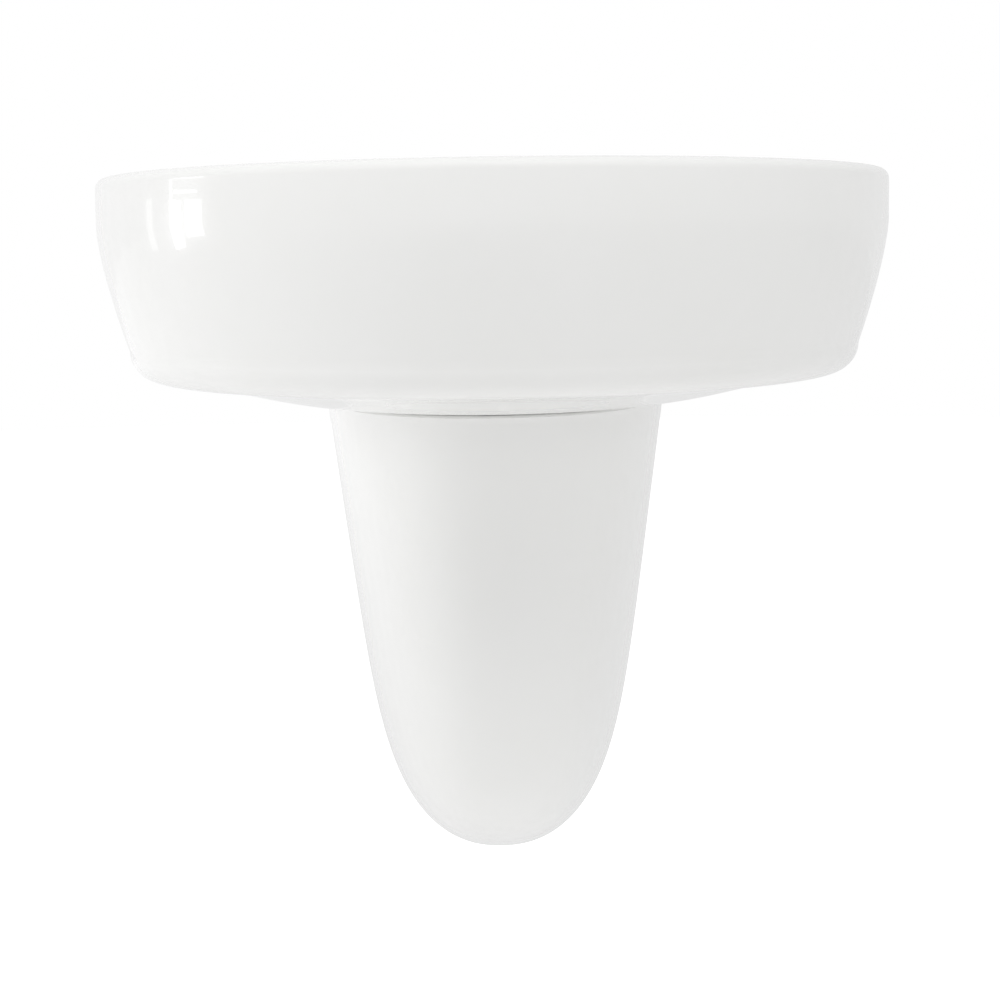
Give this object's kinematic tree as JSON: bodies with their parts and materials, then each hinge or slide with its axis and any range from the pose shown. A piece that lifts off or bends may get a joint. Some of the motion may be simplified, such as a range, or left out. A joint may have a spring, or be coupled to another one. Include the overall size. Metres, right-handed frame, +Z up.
{
  "type": "wall-hung washbasin with half pedestal",
  "caption": "Wall-hung white china washbasin with a D-shaped rim, tap deck, overflow, push-button waste, bottle trap and half pedestal.",
  "frame": {"origin": "midway between the two wall bolts, on the wall face", "axes": "+X to the right along the rim, +Y into the wall, +Z up"},
  "size_m": [0.55, 0.496, 0.495],
  "materials": {
    "white_china": "gloss",
    "chrome": "chrome plated, polished",
    "black_rubber": "matt",
    "white_plastic": "satin",
    "zinc_steel": "zinc plated"
  },
  "bodies": {
    "plug": {"plug_cap": "chrome", "plug_seal": "black_rubber", "plug_spindle": "zinc_steel"},
    "rosette": {"wall_rosette": "chrome"},
    "washbasin": {"basin": "white_china", "half_pedestal": "white_china", "pedestal_top_pads": "black_rubber", "overflow_ring": "chrome", "waste_body": "chrome", "click_cartridge": "white_plastic", "waste_top_seal": "black_rubber", "waste_cone_seal": "black_rubber", "waste_slip_washer": "white_plastic", "waste_back_nut": "chrome", "trap_inlet_seal": "black_rubber", "trap_coupling_nut": "white_plastic", "trap_inlet_pipe": "white_plastic", "trap_slip_nut": "white_plastic", "trap_slip_seal": "black_rubber", "trap_head": "white_plastic", "trap_cup": "white_plastic", "trap_cup_seal": "black_rubber", "outlet_nut": "white_plastic", "outlet_seal": "black_rubber", "wall_tube": "white_plastic", "basin_wall_bolts": "zinc_steel", "basin_bolt_bushes": "white_plastic", "basin_bolt_washers": "zinc_steel", "basin_bolt_nuts": "zinc_steel", "pedestal_bolts": "zinc_steel", "pedestal_bolt_sleeves": "white_plastic", "pedestal_bolt_washers": "zinc_steel", "pedestal_bolt_nuts": "zinc_steel"}
  },
  "joints": [
    {"name": "plug_travel", "type": "slide", "parent": "washbasin", "child": "plug", "axis": [0, 0, 1], "range_m": [0, 0.009]},
    {"name": "rosette_slide", "type": "slide", "parent": "washbasin", "child": "rosette", "axis": [0, -1, 0], "range_m": [0, 0.12]}
  ]
}
